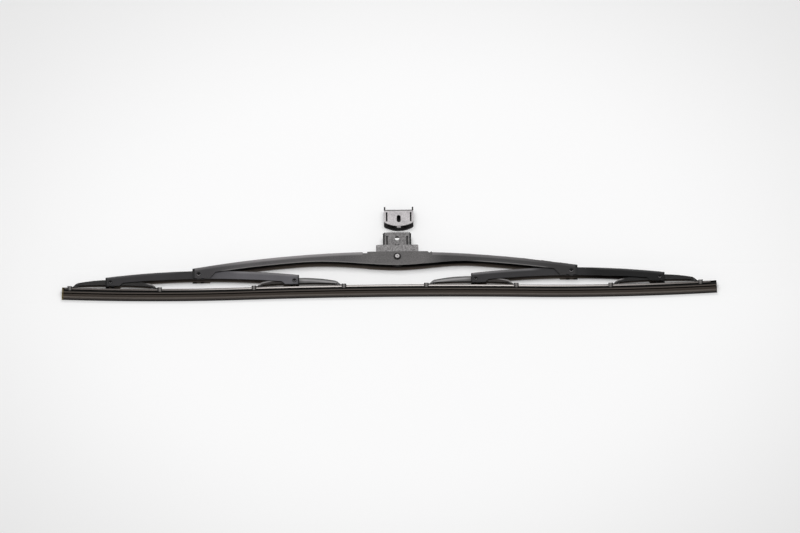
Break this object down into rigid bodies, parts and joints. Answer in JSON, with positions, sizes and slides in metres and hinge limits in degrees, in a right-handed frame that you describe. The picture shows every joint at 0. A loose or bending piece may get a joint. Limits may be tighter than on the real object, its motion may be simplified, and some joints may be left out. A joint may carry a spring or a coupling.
{
  "type": "wiper blade",
  "caption": "Bracket windscreen wiper blade: arched steel bridge, rocking yokes with claws that hold a rubber strip on steel rails, a swinging plastic arm adapter and its loose cap.",
  "frame": {"origin": "centre of the hub pin, in the blade's middle plane", "axes": "+X along the blade, +Y away from the glass, +Z across the blade and up from the table it lies on"},
  "size_m": [0.6497, 0.0999, 0.016],
  "materials": {
    "bridge_paint": "satin charcoal powder coat",
    "yoke_paint": "satin black coat",
    "claw_paint": "semi-gloss black coat",
    "pin_steel": "bare turned steel",
    "rivet_steel": "black rivet with a dished end",
    "black_plastic": "black nylon",
    "wiper_rubber": "matt extruded rubber",
    "rail_steel": "rolled spring steel",
    "adapter_grey": "fine-grained moulded plastic",
    "cap_grey": "fine-grained moulded plastic"
  },
  "bodies": {
    "bridge": {"main_bridge": "bridge_paint", "hub_pin": "pin_steel", "hub_bush_front": "black_plastic", "hub_bush_back": "black_plastic", "bridge_rivet_left": "rivet_steel", "bridge_rivet_right": "rivet_steel", "rubber_strip": "wiper_rubber", "rail_front": "rail_steel", "rail_back": "rail_steel", "adapter_cap": "cap_grey"},
    "yoke_left": {"yoke_left": "yoke_paint", "yoke_bush_left": "black_plastic", "claw_rivet_1": "rivet_steel", "claw_rivet_2": "rivet_steel"},
    "yoke_right": {"yoke_right": "yoke_paint", "yoke_bush_right": "black_plastic", "claw_rivet_3": "rivet_steel", "claw_rivet_4": "rivet_steel"},
    "adapter": {"adapter": "adapter_grey"},
    "claw_yoke_1": {"claw_yoke_1": "claw_paint", "claw_bush_1": "black_plastic"},
    "claw_yoke_2": {"claw_yoke_2": "claw_paint", "claw_bush_2": "black_plastic"},
    "claw_yoke_3": {"claw_yoke_3": "claw_paint", "claw_bush_3": "black_plastic"},
    "claw_yoke_4": {"claw_yoke_4": "claw_paint", "claw_bush_4": "black_plastic"}
  },
  "joints": [
    {"name": "yoke_left_rock", "type": "hinge", "parent": "bridge", "child": "yoke_left", "pos_m": [-0.1971, -0.017, 0], "axis": [0, 0, 1], "range_deg": [-5, 5], "stiffness_Nm_per_rad": 1, "deforming": ["rubber_strip", "rail_front", "rail_back"]},
    {"name": "yoke_right_rock", "type": "hinge", "parent": "bridge", "child": "yoke_right", "pos_m": [0.1723, -0.017, 0], "axis": [0, 0, 1], "range_deg": [-5, 5], "deforming": ["rubber_strip", "rail_front", "rail_back"]},
    {"name": "claw_yoke_1_rock", "type": "hinge", "parent": "yoke_left", "child": "claw_yoke_1", "pos_m": [-0.2847, -0.024, 0], "axis": [0, 0, 1], "range_deg": [-3, 3], "deforming": ["rubber_strip", "rail_front", "rail_back"]},
    {"name": "claw_yoke_2_rock", "type": "hinge", "parent": "yoke_left", "child": "claw_yoke_2", "pos_m": [-0.1023, -0.024, 0], "axis": [0, 0, 1], "range_deg": [-3, 3], "deforming": ["rubber_strip", "rail_front", "rail_back"]},
    {"name": "claw_yoke_3_rock", "type": "hinge", "parent": "yoke_right", "child": "claw_yoke_3", "pos_m": [0.0775, -0.024, 0], "axis": [0, 0, 1], "range_deg": [-3, 3], "deforming": ["rubber_strip", "rail_front", "rail_back"]},
    {"name": "claw_yoke_4_rock", "type": "hinge", "parent": "yoke_right", "child": "claw_yoke_4", "pos_m": [0.2599, -0.024, 0], "axis": [0, 0, 1], "range_deg": [-3, 3], "deforming": ["rubber_strip", "rail_front", "rail_back"]},
    {"name": "adapter_swing", "type": "hinge", "parent": "bridge", "child": "adapter", "pos_m": [0, 0, 0], "axis": [0, 0, 1], "range_deg": [-60, 60]}
  ],
  "couplings": [
    {"joint": "yoke_right_rock", "follows": "yoke_left_rock", "ratio": -1},
    {"joint": "claw_yoke_1_rock", "follows": "yoke_left_rock", "ratio": 0.504},
    {"joint": "claw_yoke_2_rock", "follows": "yoke_left_rock", "ratio": -0.504},
    {"joint": "claw_yoke_3_rock", "follows": "yoke_left_rock", "ratio": 0.504},
    {"joint": "claw_yoke_4_rock", "follows": "yoke_left_rock", "ratio": -0.504}
  ]
}
